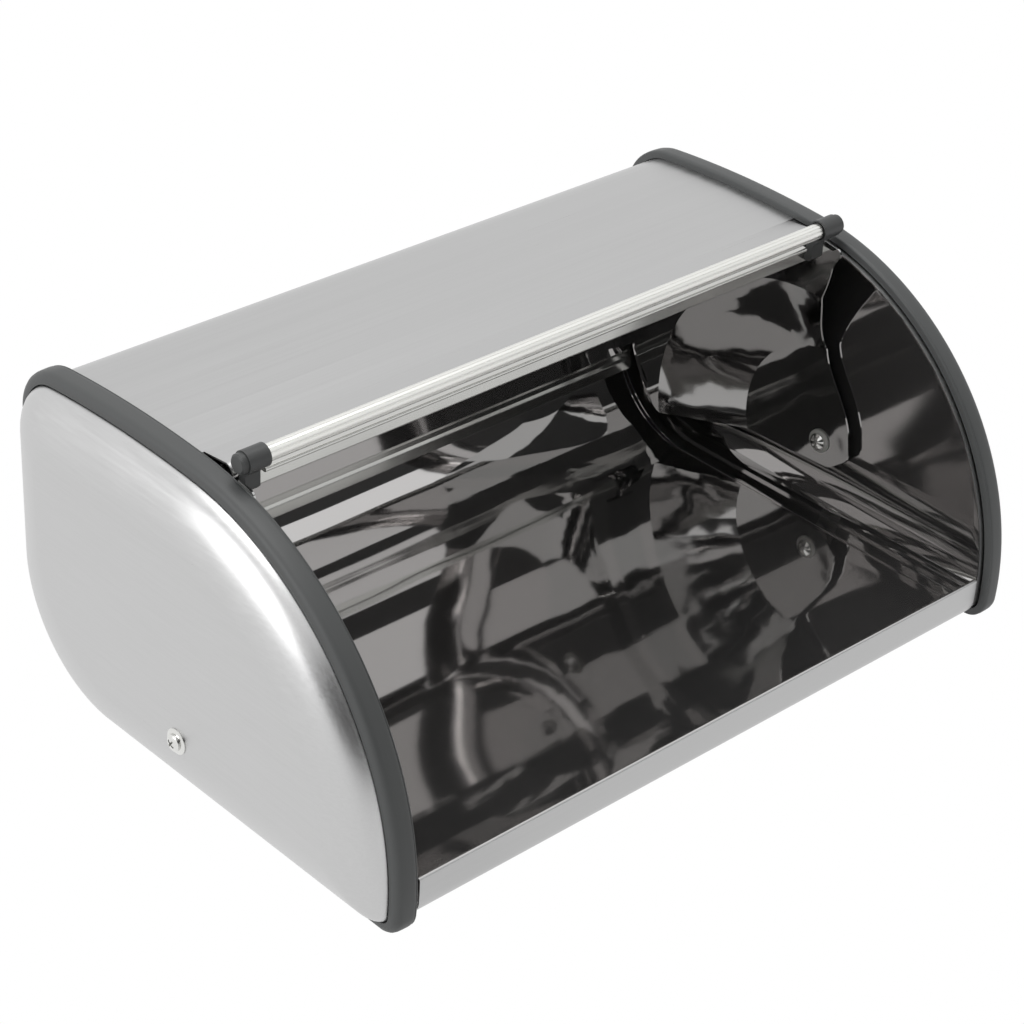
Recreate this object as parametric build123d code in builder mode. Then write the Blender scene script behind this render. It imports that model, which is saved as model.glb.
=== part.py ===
# Roll-top bread box in stainless steel with a lid that turns back under the top sheet.
# Frame: X runs along the box from its left end to its right end, -Y is the open front, +Z is up.
# Origin: on the counter, at the middle of the box's length and depth. Millimetres.
from build123d import *
from math import acos, asin, atan2, cos, degrees, hypot, radians, sin, sqrt
import os

# Driving dimensions of the D-shaped end
front_radius = 152.0  # the roll-top arc
front_centre_y = 16.0
front_centre_z = 21.3
crown_radius = 638.0  # the top is nearly flat
crown_start = 94.14  # where the front arc passes into the crown, in degrees
rear_wall = 136.0
corner_rear_top = 30.3
corner_rear_bottom = 60.0
corner_front_bottom = 13.0

# Sheet metal, rings and drawn ends
sheet = 0.8
shell_inset = 4.0  # the sheet lies this far inside the rings
shell_half = 197.4
opening_half = 186.4  # lip and curl stop just short of the rings
ring_start = 190.6
ring_end = 200.0
ring_wall = 1.6
flange_inset = 4.9
flange_reach = 9.4
dome_inset = 6.2
dome_depth = 19.6
dome_rounding = 26.0
dome_steps = 6

# Front lip and rolled edge over the opening
fold_z = 24.6
fold_radius = 0.9
hem_length = 8.0
bend_line_y = 16.4
curl_y = 1.0
curl_z = 167.0
curl_radius = 4.25
curl_turn = 300

# Lid
pivot_y = -1.0
pivot_z = 38.5
lid_radius = 122.5
lid_half = 186.0
lid_rear_angle = 0.9
lid_front_angle = 92.3
rail_radius = 131.6  # the front rail steps out in front of the curl
rail_half = 172.2
arm_thickness = 1.0
arm_at_lid = 187.2
arm_at_pivot = 211.2

# Handle, measured from its own middle, which sits a little left of the box's middle
handle_middle = -2.6
bar_y = -14.85
bar_z = 179.9
bar_radius = 4.0
bar_half = 186.0
socket_radius = 5.5
socket_start = 175.5
socket_step = 187.0
socket_end = 190.4
foot_start = 175.6
foot_width = 8.3
screw_x = 179.8
screw_z = 165.4

# Pivot hardware
shank_radius = 2.5
spigot_radius = 4.2

os.makedirs("parts", exist_ok=True)

# The crown's centre lies on the line through the front arc's centre and the point where the two meet.
crown_y = front_centre_y + (front_radius - crown_radius) * cos(radians(crown_start))
crown_z = front_centre_z + (front_radius - crown_radius) * sin(radians(crown_start))
pivot_axis = Axis((0, pivot_y, pivot_z), (1, 0, 0))


def polar(radius, angle):
    """Point about the lid's pivot: 0 degrees points to the rear, 90 up and 180 to the front."""
    return (pivot_y + radius * cos(radians(angle)), pivot_z + radius * sin(radians(angle)))


def radial_plane(angle):
    """Plane through the pivot axis: its x runs along the box, its y is the distance from the axis."""
    tilt = radians(angle)
    return Plane(origin=(0, pivot_y, pivot_z), x_dir=(1, 0, 0), z_dir=(0, -sin(tilt), cos(tilt)))


def cap_radius(rim, rise):
    """Radius of the sphere whose cap has this rim radius and this rise."""
    return (rim**2 + rise**2) / (2 * rise)


def end_outline(inset, rear_top, rear_bottom, front_bottom):
    """D-shaped outline of the end, moved inwards, with its three corner radii."""
    front = front_radius - inset
    crown = crown_radius - inset
    back = rear_wall - inset
    toe = degrees(asin((front_centre_z - inset) / front))
    back_angle = degrees(acos((back - crown_y) / crown))
    with BuildSketch() as outline:
        with BuildLine():
            roll = CenterArc((front_centre_y, front_centre_z), front, crown_start, 180 + toe - crown_start)
            top = CenterArc((crown_y, crown_z), crown, back_angle, crown_start - back_angle)
            wall = Line(top @ 0, (back, inset))
            floor = Line(wall @ 1, roll @ 1)
        make_face()
        fillet(outline.vertices().sort_by_distance(top @ 0)[0], radius=rear_top)
        fillet(outline.vertices().sort_by_distance(wall @ 1)[0], radius=rear_bottom)
        fillet(outline.vertices().sort_by_distance(floor @ 1)[0], radius=front_bottom)
    return outline.sketch


def sheet_outline(inset):
    """The outline with every corner keeping its centre."""
    return end_outline(inset, corner_rear_top - inset, corner_rear_bottom - inset, corner_front_bottom - inset)


def dome_outline(inset):
    """Outline of the drawn end: its corners tighten more slowly than the outline shrinks."""
    drawn = inset - dome_inset
    return end_outline(
        inset,
        corner_rear_top - dome_inset - 0.43 * drawn,
        corner_rear_bottom - dome_inset - 0.41 * drawn,
        corner_front_bottom - dome_inset - 0.1 * drawn,
    )


def dome_section(step, skin):
    """Distance of one step of the soft dome from its rim, and its inset there; skin moves it inwards."""
    turn = radians(90 * (step / dome_steps) ** 1.3)
    reach = (dome_depth - skin) * sin(turn) ** 0.65
    drawn = (dome_rounding - skin) * (1 - cos(turn) ** 1.2)
    return reach, dome_inset + skin + drawn


# Body shell: one sheet from the hemmed front lip, under the bread and up the rear, to the curl over the opening
lip_arc = front_radius - shell_inset - sheet / 2
fold_y = front_centre_y - sqrt(lip_arc**2 - (fold_z - front_centre_z) ** 2) + fold_radius
bend_line_z = crown_z + sqrt((crown_radius - shell_inset - sheet / 2) ** 2 - (bend_line_y - crown_y) ** 2)
curl_mid = curl_radius - sheet / 2
curl_reach = hypot(bend_line_y - curl_y, bend_line_z - curl_z)
curl_start = degrees(atan2(bend_line_z - curl_z, bend_line_y - curl_y) + acos(curl_mid / curl_reach))

with BuildPart() as body_shell:
    with BuildSketch(Plane.YZ) as wall_section:
        add(sheet_outline(shell_inset))
        offset(amount=-sheet, mode=Mode.SUBTRACT)
        with Locations((bend_line_y, fold_z)):
            Rectangle(200, 200, align=(Align.MAX, Align.MIN), mode=Mode.SUBTRACT)
    extrude(amount=shell_half, both=True)
    # the front bend and its lip are cut back at both ends
    with BuildSketch(Plane.XY) as end_notches:
        with Locations((opening_half + 20, -rear_wall), (-opening_half - 20, -rear_wall)):
            Rectangle(40, 38)
    extrude(amount=60, mode=Mode.SUBTRACT)
    with BuildSketch(Plane.YZ) as hem_section:
        with Locations((fold_y, fold_z)):
            Circle(fold_radius + sheet / 2)
            Circle(fold_radius - sheet / 2, mode=Mode.SUBTRACT)
            Rectangle(4, 4, align=(Align.CENTER, Align.MAX), mode=Mode.SUBTRACT)
        with Locations((fold_y + fold_radius, fold_z)):
            Rectangle(sheet, hem_length, align=(Align.CENTER, Align.MAX))
    extrude(amount=opening_half, both=True)
    with BuildSketch(Plane.YZ) as curl_section:
        with BuildLine() as curl_line:
            roll = CenterArc((curl_y, curl_z), curl_mid, curl_start, curl_turn)
            Line((bend_line_y, bend_line_z), roll @ 0)
        trace(line_width=sheet)
    extrude(amount=opening_half, both=True)
body_shell.part.label = "body_shell"
export_step(body_shell.part, "parts/body_shell.step")

# End caps: drawn steel pans with a straight flange inside the sheet, a small shoulder and a soft elliptical dome
with BuildPart() as right_end_cap:
    for step in range(dome_steps + 1):
        reach, inset = dome_section(step, 0)
        with BuildSketch(Plane.YZ.offset(shell_half + reach)):
            add(dome_outline(inset))
    loft(ruled=True)
    for step in range(dome_steps + 1):
        reach, inset = dome_section(step, sheet)
        with BuildSketch(Plane.YZ.offset(shell_half + reach)):
            add(dome_outline(inset))
    loft(ruled=True, mode=Mode.SUBTRACT)
    with BuildSketch(Plane.YZ.offset(shell_half)) as shoulder:
        add(sheet_outline(flange_inset))
        offset(amount=flange_inset - dome_inset - sheet, mode=Mode.SUBTRACT)
    extrude(amount=sheet)
    with BuildSketch(Plane.YZ.offset(shell_half - flange_reach)) as flange:
        add(sheet_outline(flange_inset))
        offset(amount=-sheet, mode=Mode.SUBTRACT)
    extrude(amount=flange_reach)
    with BuildSketch(Plane.YZ.offset(shell_half)) as pivot_hole:
        with Locations((pivot_y, pivot_z)):
            Circle(shank_radius + 0.1)
    extrude(amount=2 * dome_depth, mode=Mode.SUBTRACT)
right_end_cap.part.label = "right_end_cap"
export_step(right_end_cap.part, "parts/right_end_cap.step")

with BuildPart() as left_end_cap:
    mirror(right_end_cap.part, about=Plane.YZ)
left_end_cap.part.label = "left_end_cap"
export_step(left_end_cap.part, "parts/left_end_cap.step")

# Trim rings: one moulded section, with its crest beside the opening and a long fall to the drawn end, swept
# round the outline
with BuildSketch(Plane.YZ) as ring_outline:
    add(sheet_outline(0))
ring_path = ring_outline.sketch.face().outer_wire()

with BuildPart() as right_trim_ring:
    with BuildSketch(Plane(origin=ring_path @ 0, x_dir=(1, 0, 0), z_dir=ring_path % 0)) as ring_section:
        with BuildLine() as ring_profile:
            Polyline(
                (ring_start, -shell_inset),
                (ring_start, -1.0),
                (ring_start + 0.6, -0.2),
                (ring_start + 1.6, 0),
                (ring_start + 3.4, 0),
                (ring_start + 5.4, -0.8),
                (ring_start + 7.2, -2.0),
                (ring_start + 8.6, -3.8),
                (ring_end, 0.2 - dome_inset),
                (ring_end - ring_wall, 0.2 - dome_inset),
                (ring_end - ring_wall, -shell_inset - 0.9),
                (shell_half + 0.2, -shell_inset),
                close=True,
            )
        make_face()
    sweep(path=ring_path)
right_trim_ring.part.label = "right_trim_ring"
export_step(right_trim_ring.part, "parts/right_trim_ring.step")

with BuildPart() as left_trim_ring:
    mirror(right_trim_ring.part, about=Plane.YZ)
left_trim_ring.part.label = "left_trim_ring"
export_step(left_trim_ring.part, "parts/left_trim_ring.step")

# Lid panel: a plain curved sheet about the pivot
with BuildPart() as lid_panel:
    with BuildSketch(Plane.YZ) as panel_section:
        with BuildLine():
            outside = CenterArc((pivot_y, pivot_z), lid_radius, lid_rear_angle, lid_front_angle - lid_rear_angle)
            inside = CenterArc(
                (pivot_y, pivot_z), lid_radius - sheet, lid_rear_angle, lid_front_angle - lid_rear_angle
            )
            Line(outside @ 0, inside @ 0)
            Line(outside @ 1, inside @ 1)
        make_face()
    extrude(amount=lid_half, both=True)
lid_panel.part.label = "lid_panel"
export_step(lid_panel.part, "parts/lid_panel.step")

# Front rail: a leg under the panel, a web in front of its edge, and a forward return with a closed hem
under_panel = lid_radius - 1.5 * sheet - 0.05
with BuildPart() as lid_front_rail:
    with BuildSketch(Plane.YZ) as web_section:
        with BuildLine() as web_line:
            FilletPolyline(
                polar(under_panel, 87.6),
                polar(under_panel, 92.75),
                polar(rail_radius, 92.75),
                radius=0.9,
            )
        trace(line_width=sheet)
    extrude(amount=lid_half, both=True)
    with BuildSketch(Plane.YZ.offset(handle_middle)) as return_section:
        with BuildLine() as return_line:
            FilletPolyline(
                polar(rail_radius - 3, 92.75),
                polar(rail_radius, 92.75),
                polar(rail_radius + 0.1, 94.6),
                polar(rail_radius - 1.5, 94.6),
                polar(rail_radius - 1.5, 93.5),
                radius=0.7,
            )
        trace(line_width=sheet)
    extrude(amount=rail_half, both=True)
    with Locations(Plane.XZ.offset(12)):
        with Locations((handle_middle + screw_x, screw_z), (handle_middle - screw_x, screw_z)):
            Hole(1.6, depth=10)
lid_front_rail.part.label = "lid_front_rail"
export_step(lid_front_rail.part, "parts/lid_front_rail.step")

# Rear rail: a stepped strip folded round the panel's trailing edge
with BuildPart() as lid_rear_rail:
    with BuildSketch(Plane.YZ) as rear_rail_section:
        with BuildLine() as rear_rail_line:
            FilletPolyline(
                polar(under_panel, 5.4),
                polar(under_panel, 3.9),
                polar(under_panel - 1.2, 3.2),
                polar(under_panel - 1.2, 0.2),
                polar(lid_radius + 0.45, 0.2),
                polar(lid_radius + 0.45, 2.6),
                radius=0.6,
            )
        trace(line_width=sheet)
    extrude(amount=lid_half, both=True)
lid_rear_rail.part.label = "lid_rear_rail"
export_step(lid_rear_rail.part, "parts/lid_rear_rail.step")

# Lid arms: wing plates with a turned flange under the panel and a cone-shaped step out towards the end cap
with BuildPart() as right_lid_arm:
    with BuildSketch(radial_plane(90)) as plate_section:
        with BuildLine() as plate_line:
            Polyline(
                (arm_at_pivot, 0),
                (arm_at_pivot, 54),
                (arm_at_lid, 98),
                (arm_at_lid, 134),
            )
        trace(line_width=arm_thickness)
    revolve(axis=pivot_axis)
    under_lid = lid_radius - 3
    with BuildSketch(Plane.YZ.offset(150)) as wing:
        with BuildLine():
            front_edge = Spline(
                polar(22.5, 145),
                polar(30, 113),
                polar(54, 87.5),
                polar(85, 93.2),
                polar(117, 97.0),
            )
            Polyline(
                front_edge @ 1,
                polar(129, 99.2),
                polar(129.5, 93.6),
                polar(under_lid, 92.2),
            )
            top_edge = CenterArc((pivot_y, pivot_z), under_lid, 6.4, 85.8)
            Polyline(
                top_edge @ 0,
                (pivot_y + 107, pivot_z - 1),
                (pivot_y + 101, pivot_z - 17.8),
                (pivot_y - 8, pivot_z - 13.4),
                (pivot_y - 20.8, pivot_z - 3),
                front_edge @ 0,
            )
        make_face()
        fillet(vertices().sort_by_distance(polar(129, 99.2))[0], radius=3)
        fillet(vertices().sort_by_distance((pivot_y + 101, pivot_z - 17.8))[0], radius=10)
        fillet(vertices().sort_by_distance((pivot_y - 8, pivot_z - 13.4))[0], radius=9)
        fillet(vertices().sort_by_distance((pivot_y - 20.8, pivot_z - 3))[0], radius=7)
    extrude(amount=100, mode=Mode.INTERSECT)
    with BuildSketch(radial_plane(8)) as flange_section:
        with BuildLine() as flange_line:
            Polyline(
                (176, lid_radius - sheet - arm_thickness / 2 - 0.05),
                (arm_at_lid, lid_radius - sheet - arm_thickness / 2 - 0.05),
                (arm_at_lid, lid_radius - 12),
            )
        trace(line_width=arm_thickness)
    revolve(axis=pivot_axis, revolution_arc=77)
    with BuildSketch(Plane.YZ.offset(150)) as arm_hole:
        with Locations((pivot_y, pivot_z)):
            Circle(spigot_radius + 0.06)
    extrude(amount=100, mode=Mode.SUBTRACT)
right_lid_arm.part.label = "right_lid_arm"
export_step(right_lid_arm.part, "parts/right_lid_arm.step")

with BuildPart() as left_lid_arm:
    mirror(right_lid_arm.part, about=Plane.YZ)
left_lid_arm.part.label = "left_lid_arm"
export_step(left_lid_arm.part, "parts/left_lid_arm.step")

# Handle bar with fine grooves along it
with BuildPart() as handle_bar:
    with BuildSketch(Plane.YZ.offset(handle_middle)) as bar_section:
        with Locations((bar_y, bar_z)):
            Circle(bar_radius)
            with PolarLocations(bar_radius, 14):
                Circle(0.3, mode=Mode.SUBTRACT)
    extrude(amount=bar_half, both=True)
handle_bar.part.label = "handle_bar"
export_step(handle_bar.part, "parts/handle_bar.step")

# Handle brackets: a stepped socket for the bar on a foot that is screwed to the front rail from behind
handle_plane = Plane.YZ.offset(handle_middle)
screw_middle = handle_middle + screw_x
foot_front = bar_y + 2.45
with BuildPart() as right_handle_bracket:
    with BuildSketch(handle_plane.offset(socket_start)) as socket:
        with Locations((bar_y, bar_z)):
            Circle(socket_radius)
    extrude(amount=socket_step - socket_start)
    with BuildSketch(handle_plane.offset(socket_step)) as socket_tip:
        with Locations((bar_y, bar_z)):
            Circle(socket_radius - 0.7)
    extrude(amount=socket_end - socket_step)
    chamfer(faces().sort_by(Axis.X)[-1].edges(), length=0.9)
    with BuildSketch(handle_plane.offset(foot_start)) as foot:
        with BuildLine():
            Polyline(
                (foot_front, 163.2),
                (foot_front + 1.8, 161.3),
                (-7.45, 161.3),
                (-8.15, 170.3),
                (bar_y + socket_radius - 0.3, bar_z - 1),
                (bar_y, bar_z),
                (bar_y - socket_radius + 1.2, bar_z - 3),
                (foot_front, 170.6),
                close=True,
            )
        make_face()
    extrude(amount=foot_width)
    with BuildSketch(handle_plane.offset(socket_start)) as bar_bore:
        with Locations((bar_y, bar_z)):
            Circle(bar_radius + 0.05)
    extrude(amount=bar_half + 0.3 - socket_start, mode=Mode.SUBTRACT)
    with BuildSketch(handle_plane.offset(socket_start)) as bore_mouth:
        with Locations((bar_y, bar_z)):
            Circle(bar_radius + 0.7)
    extrude(amount=1.6, mode=Mode.SUBTRACT)
    with Locations(Plane.ZX.offset(-7)):
        with Locations((screw_z, screw_middle)):
            Hole(1.55, depth=4.5)
right_handle_bracket.part.label = "right_handle_bracket"
export_step(right_handle_bracket.part, "parts/right_handle_bracket.step")

with BuildPart() as left_handle_bracket:
    mirror(right_handle_bracket.part, about=handle_plane)
left_handle_bracket.part.label = "left_handle_bracket"
export_step(left_handle_bracket.part, "parts/left_handle_bracket.step")

# Bracket screws: slotted heads behind the rail's web, out of sight from the front
screw_head = -6.3
with BuildPart() as right_bracket_screw:
    with BuildSketch(Plane.XY.offset(screw_z)) as bracket_screw_profile:
        with BuildLine():
            Polyline(
                (screw_middle, screw_head + 1.3),
                (screw_middle + 1.5, screw_head + 1.3),
                (screw_middle + 2.4, screw_head + 0.8),
                (screw_middle + 2.4, screw_head),
                (screw_middle + 1.5, screw_head),
                (screw_middle + 1.5, screw_head - 5.1),
                (screw_middle, screw_head - 5.1),
                close=True,
            )
        make_face()
    revolve(axis=Axis((screw_middle, 0, screw_z), (0, 1, 0)))
    with BuildSketch(Plane.ZX.offset(screw_head + 0.7)) as screw_slot:
        with Locations((screw_z, screw_middle)):
            Rectangle(6, 0.7)
    extrude(amount=2, mode=Mode.SUBTRACT)
right_bracket_screw.part.label = "right_bracket_screw"
export_step(right_bracket_screw.part, "parts/right_bracket_screw.step")

with BuildPart() as left_bracket_screw:
    mirror(right_bracket_screw.part, about=handle_plane)
left_bracket_screw.part.label = "left_bracket_screw"
export_step(left_bracket_screw.part, "parts/left_bracket_screw.step")

# Pivot stack, from outside in: screw, dished washer, end cap, shouldered bush, arm, inner washer, domed nut
cap_outside = shell_half + dome_depth
cap_inside = cap_outside - sheet
arm_inside = arm_at_pivot - arm_thickness / 2
arm_outside = arm_at_pivot + arm_thickness / 2

with BuildPart() as right_outer_washer:
    with BuildSketch(radial_plane(90)) as washer_section:
        with BuildLine():
            Polyline(
                (cap_outside + 0.05, shank_radius + 0.1),
                (cap_outside + 0.05, 6.4),
                (cap_outside + 0.5, 6.4),
                (cap_outside + 1.3, 3.9),
                (cap_outside + 1.1, shank_radius + 0.1),
                close=True,
            )
        make_face()
    revolve(axis=pivot_axis)
right_outer_washer.part.label = "right_outer_washer"
export_step(right_outer_washer.part, "parts/right_outer_washer.step")

with BuildPart() as left_outer_washer:
    mirror(right_outer_washer.part, about=Plane.YZ)
left_outer_washer.part.label = "left_outer_washer"
export_step(left_outer_washer.part, "parts/left_outer_washer.step")

with BuildPart() as right_pivot_bush:
    with BuildSketch(radial_plane(90)) as bush_section:
        with BuildLine():
            Polyline(
                (cap_inside - 0.1, shank_radius + 0.1),
                (cap_inside - 0.1, 5.2),
                (arm_outside + 0.2, 5.8),
                (arm_outside + 0.2, spigot_radius),
                (arm_inside - 0.2, spigot_radius),
                (arm_inside - 0.2, shank_radius + 0.1),
                close=True,
            )
        make_face()
    revolve(axis=pivot_axis)
right_pivot_bush.part.label = "right_pivot_bush"
export_step(right_pivot_bush.part, "parts/right_pivot_bush.step")

with BuildPart() as left_pivot_bush:
    mirror(right_pivot_bush.part, about=Plane.YZ)
left_pivot_bush.part.label = "left_pivot_bush"
export_step(left_pivot_bush.part, "parts/left_pivot_bush.step")

with BuildPart() as right_inner_washer:
    with BuildSketch(Plane.YZ.offset(arm_inside - 1.2)) as inner_washer_face:
        with Locations((pivot_y, pivot_z)):
            Circle(6.6)
            Circle(shank_radius + 0.1, mode=Mode.SUBTRACT)
    extrude(amount=0.95)
    chamfer(faces().sort_by(Axis.X)[0].outer_wire().edges(), length=0.3)
right_inner_washer.part.label = "right_inner_washer"
export_step(right_inner_washer.part, "parts/right_inner_washer.step")

with BuildPart() as left_inner_washer:
    mirror(right_inner_washer.part, about=Plane.YZ)
left_inner_washer.part.label = "left_inner_washer"
export_step(left_inner_washer.part, "parts/left_inner_washer.step")

nut_seat = arm_inside - 1.25
nut_dome = cap_radius(4.8, 2.7)
with BuildPart() as right_pivot_nut:
    with BuildSketch(radial_plane(90)) as nut_section:
        with BuildLine():
            Polyline(
                (nut_seat - 3.6, 0),
                (nut_seat - 2.6, 0),
                (nut_seat - 2.6, shank_radius + 0.05),
                (nut_seat, shank_radius + 0.05),
                (nut_seat, 4.8),
                (nut_seat - 0.9, 4.8),
            )
            nut_turn = degrees(asin(4.8 / nut_dome))
            CenterArc((nut_seat - 3.6 + nut_dome, 0), nut_dome, 180 - nut_turn, nut_turn)
        make_face()
    revolve(axis=pivot_axis)
right_pivot_nut.part.label = "right_pivot_nut"
export_step(right_pivot_nut.part, "parts/right_pivot_nut.step")

with BuildPart() as left_pivot_nut:
    mirror(right_pivot_nut.part, about=Plane.YZ)
left_pivot_nut.part.label = "left_pivot_nut"
export_step(left_pivot_nut.part, "parts/left_pivot_nut.step")

head_seat = cap_outside + 1.35
head_dome = cap_radius(4.3, 1.4)
with BuildPart() as right_pivot_screw:
    with BuildSketch(radial_plane(90)) as screw_section:
        with BuildLine():
            Polyline(
                (head_seat + 2.4, 0),
                (nut_seat - 2.5, 0),
                (nut_seat - 2.5, shank_radius),
                (head_seat, shank_radius),
                (head_seat, 4.3),
                (head_seat + 1.0, 4.3),
            )
            CenterArc((head_seat + 2.4 - head_dome, 0), head_dome, 0, degrees(asin(4.3 / head_dome)))
        make_face()
    revolve(axis=pivot_axis)
    with BuildSketch(Plane.YZ.offset(head_seat + 0.9)) as cross_recess:
        with Locations((pivot_y, pivot_z)):
            Rectangle(4.6, 0.9, rotation=35)
            Rectangle(4.6, 0.9, rotation=125)
    extrude(amount=4, mode=Mode.SUBTRACT)
right_pivot_screw.part.label = "right_pivot_screw"
export_step(right_pivot_screw.part, "parts/right_pivot_screw.step")

with BuildPart() as left_pivot_screw:
    mirror(right_pivot_screw.part, about=Plane.YZ)
left_pivot_screw.part.label = "left_pivot_screw"
export_step(left_pivot_screw.part, "parts/left_pivot_screw.step")
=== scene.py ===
# %% [markdown]
# # A roll-top bread box
# A bread box of thin stainless steel: one bent sheet makes the floor, the back and the top, two
# deep-drawn ends close it, and plastic rings cover the seams. A curved lid swings back under the top.
# The solids come from the frame at their real size, so they are loaded first and everything else is
# fitted to them.

# %% Load the frame
import math

import bpy
import numpy as np
from mathutils import Matrix, Vector


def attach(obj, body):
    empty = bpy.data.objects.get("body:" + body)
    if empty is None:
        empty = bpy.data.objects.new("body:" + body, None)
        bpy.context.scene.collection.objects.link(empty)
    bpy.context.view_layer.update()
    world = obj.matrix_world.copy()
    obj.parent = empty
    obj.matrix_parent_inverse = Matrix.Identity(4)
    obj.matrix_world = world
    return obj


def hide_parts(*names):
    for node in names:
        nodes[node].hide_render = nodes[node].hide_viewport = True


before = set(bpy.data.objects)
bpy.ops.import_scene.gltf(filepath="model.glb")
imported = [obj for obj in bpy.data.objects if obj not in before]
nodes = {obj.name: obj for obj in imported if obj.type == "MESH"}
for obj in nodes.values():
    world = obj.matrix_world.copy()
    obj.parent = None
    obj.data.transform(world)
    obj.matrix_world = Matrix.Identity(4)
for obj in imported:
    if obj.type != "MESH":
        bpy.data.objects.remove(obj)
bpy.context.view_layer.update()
scene = bpy.context.scene

# %% [markdown]
# ## Helpers for finishes
# A finish is a small graph of shader nodes. It could be built by hand in the shader editor, but a few
# helpers make it repeatable: one starts an empty material, one adds a node with its settings, and one
# makes noise that is stretched along the piece.


# %% Start a material, add a node
def new_finish(name):
    """An empty material; returns the material, its nodes and its links."""
    material = bpy.data.materials.new(name)
    material.use_nodes = True
    material.node_tree.nodes.clear()
    return material, material.node_tree.nodes, material.node_tree.links


def add_node(tree_nodes, kind, sockets=None, **settings):
    """Adds a node, sets its properties, then the values of its input sockets."""
    made = tree_nodes.new(kind)
    for key, value in settings.items():
        setattr(made, key, value)
    for key, value in (sockets or {}).items():
        made.inputs[key].default_value = value
    return made


def stretched_noise(n, links, place, scale, detail, roughness):
    """Noise whose scale differs along X, Y and Z, so that a small number gives long streaks that way."""
    stretch = add_node(n, "ShaderNodeMapping", {"Scale": scale})
    noise = add_node(n, "ShaderNodeTexNoise", {"Scale": 1.0, "Detail": detail, "Roughness": roughness})
    links.new(place.outputs["Object"], stretch.inputs["Vector"])
    links.new(stretch.outputs[0], noise.inputs["Vector"])
    return noise.outputs["Fac"]


# %% [markdown]
# ## Dress the solids
# Every solid keeps its own mesh and only changes its material. A part that has a left and a right piece
# is dressed by its name without the hand.


# %% Dress
def both(part):
    """The names of a part's left and right nodes."""
    return [f"left_{part}", f"right_{part}"]


def dress(finish, *names):
    """Gives these CAD nodes one finish."""
    for name in names:
        slots = nodes[name].data.materials
        if len(slots) == 0:
            slots.append(finish)
        for place in range(len(slots)):
            slots[place] = finish
    print(finish.name, "->", ", ".join(names))


# %% [markdown]
# ## Steel that is brushed outside and polished inside
# The real sheet is brushed on the side that is seen and left mirror-bright inside. The two sides could
# be two material slots, but a sheet's solid is one mesh that stays as it is. Instead the material finds
# the side by itself: outside, the normal points away from the middle of the box.


# %% Which side of the sheet
def outside_of_sheet(n, links, place, middle):
    """1 where the normal has a positive dot product with (position - middle), else 0."""
    away = add_node(n, "ShaderNodeVectorMath", {1: middle}, operation="SUBTRACT")
    facing = add_node(n, "ShaderNodeVectorMath", operation="DOT_PRODUCT")
    outside = add_node(n, "ShaderNodeMath", {1: 0.0}, operation="GREATER_THAN")
    links.new(place.outputs["Object"], away.inputs[0])
    links.new(away.outputs[0], facing.inputs[0])
    links.new(place.outputs["Normal"], facing.inputs[1])
    links.new(facing.outputs["Value"], outside.inputs[0])
    return outside.outputs[0]


# %% [markdown]
# ## The brushed side
# Brushing leaves fine scratches that all run one way. A picture of scratches would be the usual way,
# but noise stretched along the grain needs no picture. It moves the roughness, the tone and a very
# small bump together.


# %% Brushed side
def spread(n, low, high, to_low, to_high):
    """Maps low to high onto another range, and holds what lies outside at its ends."""
    ends = {"From Min": low, "From Max": high, "To Min": to_low, "To Max": to_high}
    return add_node(n, "ShaderNodeMapRange", ends)


def brushed_side(n, links, place, grain, darkest, lightest):
    """Metal with streaks: roughness 0.27 to 0.4, tone from darkest to lightest."""
    streaks = stretched_noise(n, links, place, grain, detail=4.0, roughness=0.7)
    rough = spread(n, 0.25, 0.75, 0.27, 0.4)
    tone = spread(n, 0.2, 0.8, darkest, lightest)
    scratches = add_node(n, "ShaderNodeBump", {"Strength": 0.12, "Distance": 0.00012})
    brushed = add_node(n, "ShaderNodeBsdfPrincipled", {"Metallic": 1.0, "IOR": 2.5})
    links.new(streaks, rough.inputs["Value"])
    links.new(streaks, tone.inputs["Value"])
    links.new(streaks, scratches.inputs["Height"])
    links.new(rough.outputs[0], brushed.inputs["Roughness"])
    links.new(tone.outputs[0], brushed.inputs["Base Color"])
    links.new(scratches.outputs[0], brushed.inputs["Normal"])
    return brushed.outputs[0]


# %% [markdown]
# ## The polished side
# A thin polished sheet is a slightly wavy mirror: it bends what it mirrors, and the rolling mill leaves
# faint ripples along it. Waving the mesh would spoil its thickness, so a broad noise and a fine one
# share one bump. A little less than full metal gives the haze that keeps the darkest reflections from
# pure black.

# %% Polished side
ripple_share = 0.11


def polished_side(n, links, place, rolling, wave_height):
    """A mirror bent by a broad wave plus a small share of the ripple that the rolling scale stretches."""
    wave = add_node(n, "ShaderNodeTexNoise", {"Scale": 9.0, "Detail": 1.0, "Roughness": 0.4})
    ripple = stretched_noise(n, links, place, rolling, detail=2.0, roughness=0.5)
    height = add_node(n, "ShaderNodeMath", {1: ripple_share}, operation="MULTIPLY_ADD")
    swell = add_node(n, "ShaderNodeBump", {"Strength": 1.0, "Distance": wave_height})
    bright = {"Metallic": 0.95, "Base Color": (0.56, 0.55, 0.545, 1), "Roughness": 0.045}
    polished = add_node(n, "ShaderNodeBsdfPrincipled", bright)
    links.new(place.outputs["Object"], wave.inputs["Vector"])
    links.new(ripple, height.inputs[0])
    links.new(wave.outputs["Fac"], height.inputs[2])
    links.new(height.outputs[0], swell.inputs["Height"])
    links.new(swell.outputs[0], polished.inputs["Normal"])
    return polished.outputs[0]
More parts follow.
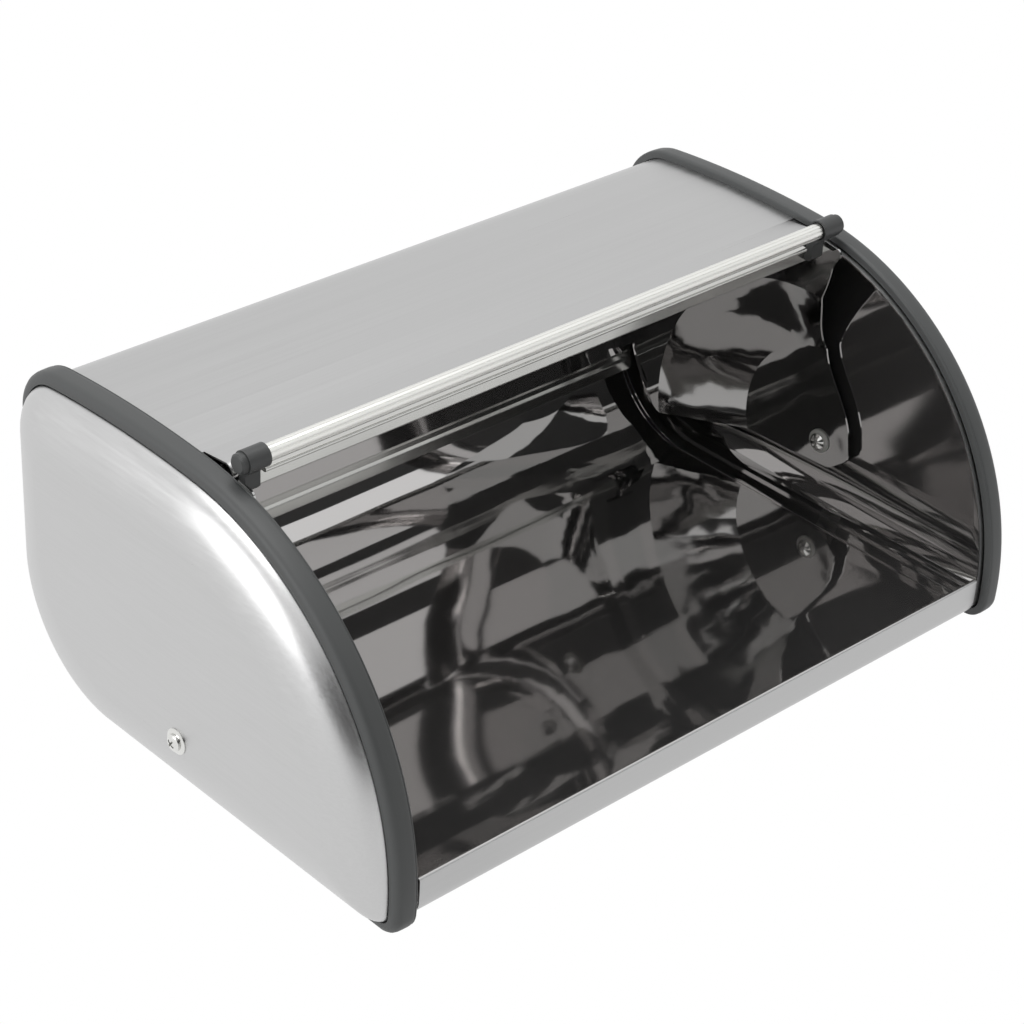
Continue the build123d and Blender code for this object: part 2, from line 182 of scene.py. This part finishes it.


# %% [markdown]
# ## The three sheets
# The body and the lid are brushed along the box, the drawn ends from front to back. Each sheet mixes
# its two sides by the test above. The lid tests against the pivot, because its sheet is an arc about
# it. The drawn ends take a lighter tone than the body and the lid, though all three are the same steel:
# that lighter tone is painted light, for the brighter light that falls on the ends.

# %% Two-sided steel
pivot = (0.0, -0.001, 0.0385)
box_middle = (0.0, 0.01, 0.085)
grain_along_box, grain_on_end = (3.0, 900.0, 900.0), (900.0, 30.0, 900.0)
rolled_sheet, drawn_sheet = (5.0, 60.0, 60.0), (20.0, 20.0, 20.0)


def two_sided_steel(name, middle, grain, tones, rolling, wave_height):
    """Brushed where the normal leaves the middle, polished where it faces it."""
    material, n, links = new_finish(name)
    out = add_node(n, "ShaderNodeOutputMaterial")
    place = add_node(n, "ShaderNodeTexCoord")
    mix = add_node(n, "ShaderNodeMixShader")
    links.new(outside_of_sheet(n, links, place, middle), mix.inputs["Fac"])
    links.new(polished_side(n, links, place, rolling, wave_height), mix.inputs[1])
    links.new(brushed_side(n, links, place, grain, *tones), mix.inputs[2])
    links.new(mix.outputs[0], out.inputs["Surface"])
    return material


shell_steel = two_sided_steel("shell_steel", box_middle, grain_along_box, (0.45, 0.5), rolled_sheet, 0.0009)
# The ends' tone, 0.54 to 0.59 against 0.45 to 0.5 on the body and the lid, is painted light: the same steel
# made lighter for the brighter light on the ends.
end_steel_painted_lighter = two_sided_steel("end_steel_painted_lighter", box_middle, grain_on_end, (0.54, 0.59), drawn_sheet, 0.0008)
lid_steel = two_sided_steel("lid_steel", pivot, grain_along_box, (0.45, 0.5), rolled_sheet, 0.0007)
dress(shell_steel, "body_shell")
dress(lid_steel, "lid_panel")

# %% [markdown]
# ## Plain metals and plastics
# The arms, rails, handle and fasteners have one finish all over. So do the moulded brackets, bushes and
# washers. Flat values would look like a drawing, so each takes a noise bump: a wide, low swell on metal
# that bends its reflections, and a fine grain on plastic.


# %% One finish all over
def grained_finish(name, surface, noise, strength, height):
    """A principled surface whose normal follows noise, as a bump of this strength and height."""
    material, n, links = new_finish(name)
    out = add_node(n, "ShaderNodeOutputMaterial")
    place = add_node(n, "ShaderNodeTexCoord")
    grain = add_node(n, "ShaderNodeTexNoise", noise)
    bump = add_node(n, "ShaderNodeBump", {"Strength": strength, "Distance": height})
    skin = add_node(n, "ShaderNodeBsdfPrincipled", surface)
    links.new(place.outputs["Object"], grain.inputs["Vector"])
    links.new(grain.outputs["Fac"], bump.inputs["Height"])
    links.new(bump.outputs[0], skin.inputs["Normal"])
    links.new(skin.outputs[0], out.inputs["Surface"])
    return material


def plain_metal(name, colour, roughness, swell):
    """Metal with a slight swell in its reflections."""
    surface = {"Metallic": 1.0, "Base Color": (*colour, 1), "Roughness": roughness}
    return grained_finish(name, surface, {"Scale": 22.0, "Detail": 2.0}, 1.0, swell)


def moulded_plastic(name, colour, roughness):
    """Matte plastic with a fine moulded grain."""
    surface = {"Base Color": (*colour, 1), "Roughness": roughness}
    return grained_finish(name, surface, {"Scale": 1400.0, "Detail": 3.0}, 0.25, 0.0001)


# %% [markdown]
# ## Finishes of the small pieces
# The arms are as bright as the inside of the box. The rails are satin, the handle is soft aluminium,
# and the screws, nuts and cupped washers are plated. The brackets are dark grey, and the bushes pale
# nylon.

# %% Small pieces
dress(plain_metal("arm_steel", (0.5, 0.5, 0.495), 0.05, 0.0008), *both("lid_arm"))
dress(plain_metal("rail_steel", (0.55, 0.55, 0.53), 0.2, 0.0004), "lid_front_rail", "lid_rear_rail")
dress(plain_metal("bar_aluminium", (0.8, 0.8, 0.77), 0.3, 0.0001), "handle_bar")
fasteners = both("pivot_screw") + both("outer_washer") + both("pivot_nut") + both("bracket_screw")
dress(plain_metal("bright_plate", (0.72, 0.72, 0.7), 0.18, 0.0001), *fasteners)
dress(moulded_plastic("bracket_grey", (0.05, 0.052, 0.052), 0.45), *both("handle_bracket"))
dress(moulded_plastic("nylon", (0.6, 0.6, 0.57), 0.4), *both("pivot_bush"), *both("inner_washer"))


# %% [markdown]
# ## The outline of an end
# Seen from the side the box is a D lying on its flat: a round front, a slightly crowned top, a straight
# back, and three rounded corners. Every row of the ends and rings is this outline moved inwards. A
# scaled copy would squeeze the corners wrongly, so each row works its arcs out again from the distance
# and its own corner radii.

# %% Outline
roll_centre, roll_radius = (0.016, 0.0213), 0.152
crown_radius, crown_start = 0.638, math.radians(94.14)
back_wall = 0.136
crown_centre = (
    roll_centre[0] + (roll_radius - crown_radius) * math.cos(crown_start),
    roll_centre[1] + (roll_radius - crown_radius) * math.sin(crown_start),
)
corner_radii = np.array([0.0289, 0.063, 0.0118])  # rear top, rear bottom, front bottom
roll_steps, crown_steps, top_steps, bottom_steps, toe_steps = 120, 30, 24, 40, 20


def arc(centre, radius, start, end, count):
    """Points at even angles on an arc, without its last one: centre + radius (cosine, sine)."""
    turn = np.linspace(start, end, count, endpoint=False)
    return np.column_stack([centre[0] + radius * np.cos(turn), centre[1] + radius * np.sin(turn)])


def d_outline(inset, corners):
    """The end's outline, moved inwards by the inset, with its own corner radii.

    A corner's centre lies one radius inside both of its neighbours: inside the floor and the back by a
    straight distance, and inside the front and the crown by Pythagoras from the centre of their arcs.
    """
    top, bottom, toe = corners
    roll, crown, back = roll_radius - inset, crown_radius - inset, back_wall - inset
    toe_z = inset + toe
    toe_y = roll_centre[0] - math.sqrt((roll - toe) ** 2 - (toe_z - roll_centre[1]) ** 2)
    start = math.atan2(toe_z - roll_centre[1], toe_y - roll_centre[0]) % (2 * math.pi)
    top_y = back - top
    top_z = crown_centre[1] + math.sqrt((crown - top) ** 2 - (top_y - crown_centre[0]) ** 2)
    crown_end = math.atan2(top_z - crown_centre[1], top_y - crown_centre[0])
    return np.concatenate(
        [
            arc(roll_centre, roll, start, crown_start, roll_steps),
            arc(crown_centre, crown, crown_start, crown_end, crown_steps),
            arc((top_y, top_z), top, crown_end, 0, top_steps),
            arc((back - bottom, inset + bottom), bottom, 0, -math.pi / 2, bottom_steps),
            arc((toe_y, toe_z), toe, -math.pi / 2, start - 2 * math.pi, toe_steps),
        ]
    )


def level_row(x, inset):
    """A row at this distance from the middle, whose corners keep their centres."""
    return x, d_outline(inset, corner_radii - inset)


print("points in an outline:", len(level_row(0, 0)[1]))

# %% [markdown]
# ## A closed skin
# The solids hold the soft ends and rings in plain facets. Smooth shading would hide the facets but not
# their edges in the reflections, so finer skins take their place. A skin is a grid: one way it follows
# the outline, the other way it goes from row to row, and it closes both ways.

# %% Closed skin
sharpest_smooth_turn = math.radians(50)


def closed_skin(name, rows, side, finish, node):
    """A closed skin through rows of (distance from the middle, outline), on the left (-1) or right (1).

    Each quad joins two neighbours in a row to the same two in the next row. The last row joins the first.
    The right end is a mirror image, which turns faces inwards, so its quads are reversed.
    """
    count = len(rows[0][1])
    points = np.concatenate([np.column_stack([np.full(count, side * x), line]) for x, line in rows])
    row, step = np.arange(len(rows))[:, None], np.arange(count)[None, :]
    after, onward = (row + 1) % len(rows), (step + 1) % count
    quads = np.stack(
        [row * count + step, row * count + onward, after * count + onward, after * count + step], axis=-1
    ).reshape(-1, 4)
    if side > 0:
        quads = quads[:, ::-1]
    mesh = bpy.data.meshes.new(name)
    mesh.from_pydata(points.tolist(), [], quads.tolist())
    mesh.polygons.foreach_set("use_smooth", np.ones(len(quads), dtype=bool))
    mesh.set_sharp_from_angle(angle=sharpest_smooth_turn)
    mesh.materials.append(finish)
    piece = bpy.data.objects.new(name, mesh)
    scene.collection.objects.link(piece)
    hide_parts(node)
    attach(piece, "box")
    print(name, "has", len(quads), "quads")


# %% [markdown]
# ## The drawn ends
# Each end is a pan pressed from one sheet: a straight flange inside the body, a small shoulder, and a
# soft dome that flattens towards the pivot. A revolve can't follow a D, so the dome is a stack of
# outlines. Two powers of a turning angle set how fast it rises and how fast it draws in.

# %% Drawn ends
steel_gauge = 0.0008
dome_half, dome_depth, dome_rounding, dome_rim = 0.1974, 0.0196, 0.026, 0.0062
dome_turns = np.radians([2.5, 6, 11, 17, 24, 31, 38, 45, 52, 59, 66, 73, 80, 85, 90])
rise_power, draw_power = 0.74, 1.46
bottom_growth, growth_reach = 0.0067, 0.002
corner_losses = np.array([0.41, 0.12, 0.04])  # rear top, rear bottom, front bottom
flange_end, flange_inset, shoulder_inset = 0.188, 0.0049, 0.0061
hole_radius = 0.0026


def dome_rows(skin):
    """Rows from the rim of the dome to its flat middle, with the skin's distance taken off everywhere.

    At a turn from 0 to 90 degrees the row has risen by depth times sine to the rise power, and has drawn in
    by rounding times (1 - cosine to the draw power). Each corner radius loses its share of that. The rear
    bottom one also grows at first, by the growth times (1 - exp(-drawn in / reach)).
    """
    rows = []
    for turn in dome_turns:
        rise = (dome_depth - skin) * math.sin(turn) ** rise_power
        drawn = (dome_rounding - skin) * (1 - max(math.cos(turn), 0) ** draw_power)
        change = -corner_losses * drawn
        change[1] += bottom_growth * (1 - math.exp(-drawn / growth_reach))
        outline = d_outline(dome_rim + skin + drawn, corner_radii - dome_rim - skin + change)
        rows.append((dome_half + rise, outline))
    return rows


def hole_row(x, flat_edge):
    """The pivot hole: each point of the flat's edge moved along its spoke to the hole's radius."""
    spoke = flat_edge - np.array(pivot[1:])
    return x, np.array(pivot[1:]) + hole_radius * spoke / np.linalg.norm(spoke, axis=1)[:, None]


outer, inner = dome_rows(0.0), dome_rows(steel_gauge)
dome_top = dome_half + dome_depth
end_rows = [
    level_row(flange_end, flange_inset),
    level_row(dome_half + steel_gauge, flange_inset),
    level_row(dome_half + steel_gauge, shoulder_inset),
    *outer,
    hole_row(dome_top, outer[-1][1]),
    hole_row(dome_top - steel_gauge, inner[-1][1]),
    *reversed(inner),
    level_row(dome_half, dome_rim + steel_gauge),
    level_row(dome_half, flange_inset + steel_gauge),
    level_row(flange_end, flange_inset + steel_gauge),
]
print("rows in an end:", len(end_rows))

# %% [markdown]
# ## The trim rings
# A dark ring of moulded plastic covers each seam, and its flat underside carries the box. Seen close,
# it has a fine groove at the inner edge, a nearly level crest, and a rounded shoulder towards the drawn
# end. A bevel on a square section could round it, but not place the crest, so its section is a few
# points in millimetres: how far from the middle of the box, and how far inside the outline.

# %% Ring section
ring_groove = [(190.6, 4.0), (190.6, 1.0), (190.8, 0.45), (191.2, 0.2), (191.6, 0.45), (192.0, 0.2)]
ring_crest = [(192.8, 0.03), (193.6, 0.0), (196.0, 0.05), (198.4, 0.2)]
ring_shoulder = [(199.9, 0.6), (201.1, 1.5), (201.9, 3.0), (202.2, 4.6)]
ring_seat = [(202.2, 6.0), (200.1, 6.0), (200.1, 4.85), (197.6, 4.0)]
ring_section = ring_groove + ring_crest + ring_shoulder + ring_seat
ring_rows = [level_row(x / 1000, inset / 1000) for x, inset in ring_section]
ring_plastic = moulded_plastic("ring_plastic", (0.07, 0.073, 0.073), 0.5)
print("rows in a ring:", len(ring_rows))

# %% [markdown]
# ## Both ends
# The two ends are mirror images. A negative scale would turn them inside out, so the skins are made at
# their own side instead, and each one replaces its solid and stays with the box.

# %% Left and right
for side, hand in ((-1, "left"), (1, "right")):
    closed_skin(hand + "_drawn_end", end_rows, side, end_steel_painted_lighter, hand + "_end_cap")
    closed_skin(hand + "_ring", ring_rows, side, ring_plastic, hand + "_trim_ring")

# %% [markdown]
# ## The room
# The photograph has a plain white ground with no shadow. A room that is white to everything would wash
# out the steel, so the world has two strengths: full white for the camera and for mirrored rays, and a
# dim one for the light that it casts.

# %% World
scene.view_settings.view_transform = "Standard"
pure_white = (1, 1, 1, 1)
room_light = 0.45


def white_room():
    """White to camera, glossy and transmission rays, dim to all others."""
    world = bpy.data.worlds.new("studio")
    scene.world = world
    world.use_nodes = True
    n, links = world.node_tree.nodes, world.node_tree.links
    n.clear()
    path = add_node(n, "ShaderNodeLightPath")
    mirrored = add_node(n, "ShaderNodeMath", operation="MAXIMUM")
    seen = add_node(n, "ShaderNodeMath", operation="MAXIMUM")
    links.new(path.outputs["Is Glossy Ray"], mirrored.inputs[0])
    links.new(path.outputs["Is Transmission Ray"], mirrored.inputs[1])
    links.new(path.outputs["Is Camera Ray"], seen.inputs[0])
    links.new(mirrored.outputs[0], seen.inputs[1])
    dim = add_node(n, "ShaderNodeBackground", {"Color": pure_white, "Strength": room_light})
    white = add_node(n, "ShaderNodeBackground", {"Color": pure_white, "Strength": 1.0})
    choose = add_node(n, "ShaderNodeMixShader")
    sky = add_node(n, "ShaderNodeOutputWorld")
    links.new(seen.outputs[0], choose.inputs["Fac"])
    links.new(dim.outputs[0], choose.inputs[1])
    links.new(white.outputs[0], choose.inputs[2])
    links.new(choose.outputs[0], sky.inputs["Surface"])


white_room()
print("room light:", room_light)

# %% [markdown]
# ## The floor
# The box stands on the same white. A painted floor would show a grey shadow, so the camera and the
# mirrored rays see it glow, while for soft light it is plain white paint that bounces some back up at
# the box.

# %% Floor
floor_half = 6.0
floor_paint = (0.9, 0.9, 0.9, 1)


def flat_piece(name, corners):
    """An object with one face through these corners."""
    mesh = bpy.data.meshes.new(name)
    mesh.from_pydata(corners, [], [tuple(range(len(corners)))])
    piece = bpy.data.objects.new(name, mesh)
    scene.collection.objects.link(piece)
    return piece


def glowing_white(name):
    """White light to camera and glossy rays, white paint to all others."""
    material, n, links = new_finish(name)
    out = add_node(n, "ShaderNodeOutputMaterial")
    path = add_node(n, "ShaderNodeLightPath")
    paint = add_node(n, "ShaderNodeBsdfDiffuse", {"Color": floor_paint})
    glow = add_node(n, "ShaderNodeEmission", {"Color": pure_white, "Strength": 1.0})
    seen = add_node(n, "ShaderNodeMath", operation="MAXIMUM")
    mix = add_node(n, "ShaderNodeMixShader")
    links.new(path.outputs["Is Camera Ray"], seen.inputs[0])
    links.new(path.outputs["Is Glossy Ray"], seen.inputs[1])
    links.new(seen.outputs[0], mix.inputs["Fac"])
    links.new(paint.outputs[0], mix.inputs[1])
    links.new(glow.outputs[0], mix.inputs[2])
    links.new(mix.outputs[0], out.inputs["Surface"])
    return material


floor = flat_piece(
    "sweep",
    [
        (-floor_half, -floor_half, 0),
        (floor_half, -floor_half, 0),
        (floor_half, floor_half, 0),
        (-floor_half, floor_half, 0),
    ],
)
floor.data.materials.append(glowing_white("sweep_white"))
print("floor:", 2 * floor_half, "m square")

# %% [markdown]
# ## Dark flags
# Polished steel looks like steel only when it has something dark to mirror, and photographers hang black
# cards beside the camera for that. The room could be made darker instead, but then all of it would turn
# grey. Three cards stand outside the picture, two on the left and a low one on the right.

# %% Flags
flag_black = (0.06, 0.06, 0.06, 1)


def dark_flag(name, corners):
    """A black card outside the picture, which the polished steel mirrors."""
    card = flat_piece(name, corners)
    material, n, links = new_finish(name)
    out = add_node(n, "ShaderNodeOutputMaterial")
    paint = add_node(n, "ShaderNodeBsdfDiffuse", {"Color": flag_black})
    links.new(paint.outputs[0], out.inputs["Surface"])
    card.data.materials.append(material)
    print("flag:", name)


dark_flag("front_left_flag", [(-2.6, -1.6, 0.25), (0.0, -1.6, 0.25), (0.0, -1.7, 1.9), (-2.6, -1.7, 1.9)])
dark_flag("left_flag", [(-1.9, -1.6, 0.25), (-1.9, -0.5, 0.25), (-1.9, -0.5, 1.0), (-1.9, -1.6, 1.0)])
dark_flag("front_right_flag", [(0.5, -1.5, 0.5), (2.6, -1.5, 0.5), (2.6, -1.55, 0.95), (0.5, -1.55, 0.95)])

# %% [markdown]
# ## Lamps
# Two large soft lamps finish the light: one overhead for the top sheet, and one like a window on the left
# for the drawn end there. Small lamps would burn hard points into the steel.

# %% Lamps
box_heart = (0, 0, 0.1)


def soft_lamp(name, place, size, power):
    """A rectangular area lamp at a place, facing the box."""
    data = bpy.data.lights.new(name, "AREA")
    data.shape = "RECTANGLE"
    data.size, data.size_y = size
    data.energy = power
    lamp = bpy.data.objects.new(name, data)
    scene.collection.objects.link(lamp)
    lamp.location = place
    lamp.rotation_mode = "QUATERNION"
    lamp.rotation_quaternion = (Vector(box_heart) - Vector(place)).to_track_quat("-Z", "Y")
    print("lamp:", name, power, "W")


soft_lamp("overhead", (0.0, 0.2, 1.8), (1.4, 1.0), 14)
soft_lamp("left_window", (-1.8, 0.3, 0.9), (1.0, 1.0), 12)

# %% [markdown]
# ## The camera
# It stands where the photograph's camera stood: in front, to the left, and well above the box. The
# lens, the small roll and the shift of the picture's centre were fitted together. The camera's three
# axes are worked out from the angles, because a look-at constraint would lose the roll.

# %% Camera
photo_width = 1024.0
focal_pixels = 2850.4
centre_of_view = (514.04, 510.62)  # pixels
film_width = 36.0  # millimetres
azimuth, elevation, roll = math.radians(-44.21), math.radians(31.74), math.radians(3.017)
camera_place = (-0.8277, -0.8368, 0.8028)

back = Vector(
    (math.sin(azimuth) * math.cos(elevation), -math.cos(azimuth) * math.cos(elevation), math.sin(elevation))
)
level = (-back).cross(Vector((0, 0, 1))).normalized()
above = level.cross(-back)
right = math.cos(roll) * level + math.sin(roll) * above
up = -math.sin(roll) * level + math.cos(roll) * above

data = bpy.data.cameras.new("photograph")
data.sensor_width = film_width
data.lens = focal_pixels * film_width / photo_width
data.shift_x = (photo_width / 2 - centre_of_view[0]) / photo_width
data.shift_y = (centre_of_view[1] - photo_width / 2) / photo_width
camera = bpy.data.objects.new("photograph", data)
scene.collection.objects.link(camera)
turned = Matrix((right, up, back)).transposed().to_4x4()
camera.matrix_world = Matrix.Translation(camera_place) @ turned
scene.camera = camera
print("lens", round(data.lens, 2), "mm")
